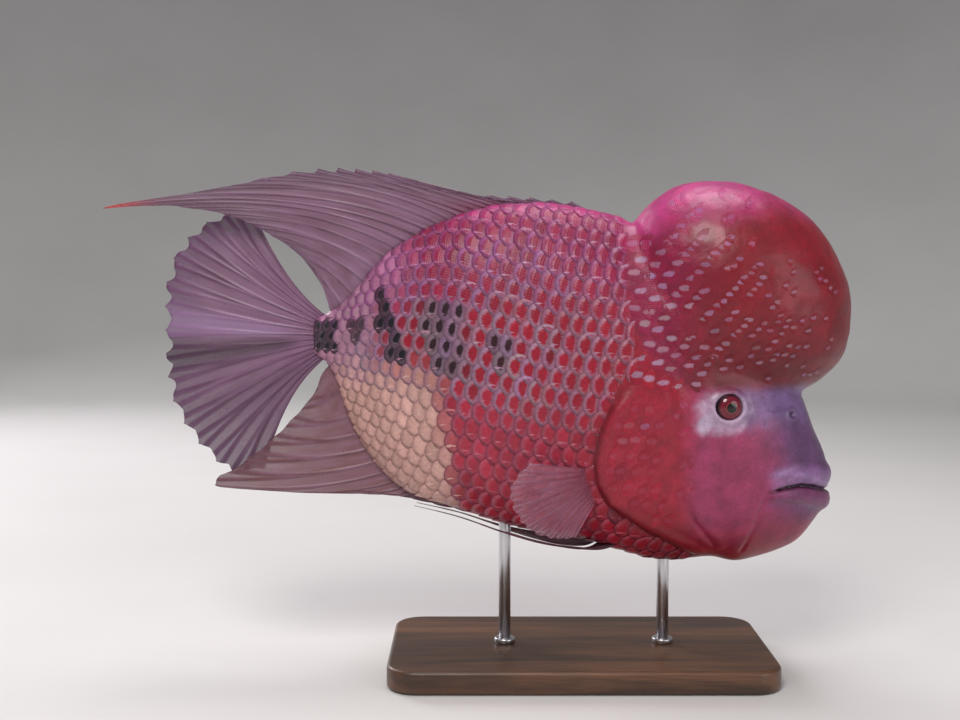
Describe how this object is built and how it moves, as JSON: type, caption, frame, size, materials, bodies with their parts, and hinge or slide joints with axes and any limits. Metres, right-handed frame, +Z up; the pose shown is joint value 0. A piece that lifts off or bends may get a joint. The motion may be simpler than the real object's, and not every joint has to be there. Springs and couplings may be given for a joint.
{
  "type": "flowerhorn cichlid",
  "caption": "Life-size still model of a male flowerhorn cichlid with a large forehead hump, swimming nose slightly down, on a low wooden stand with steel rods.",
  "frame": {"origin": "centre of the underside of the stand's base", "axes": "+X towards the fish's snout, +Z up, the fish's right flank towards -Y"},
  "size_m": [0.2949, 0.0828, 0.2002],
  "materials": {
    "body_skin": "satin",
    "face_skin": "satin",
    "hump_skin": "gloss",
    "fin": "satin",
    "eye": "gloss",
    "stand_wood": "satin",
    "stand_steel": "brushed"
  },
  "bodies": {
    "root": {"head": "face_skin", "lower_jaw": "face_skin", "gill_cover_right": "face_skin", "gill_cover_left": "face_skin", "forehead_hump": "hump_skin", "torso": "body_skin", "tail_stalk": "body_skin", "eye_right": "eye", "eye_left": "eye", "stand_base": "stand_wood", "stand_rod_front": "stand_steel", "stand_rod_rear": "stand_steel", "dorsal_fin": "fin", "anal_fin": "fin", "caudal_fin": "fin", "pectoral_fin_right": "fin", "pectoral_fin_left": "fin", "pelvic_fin_right": "fin", "pelvic_fin_left": "fin"}
  },
  "joints": []
}
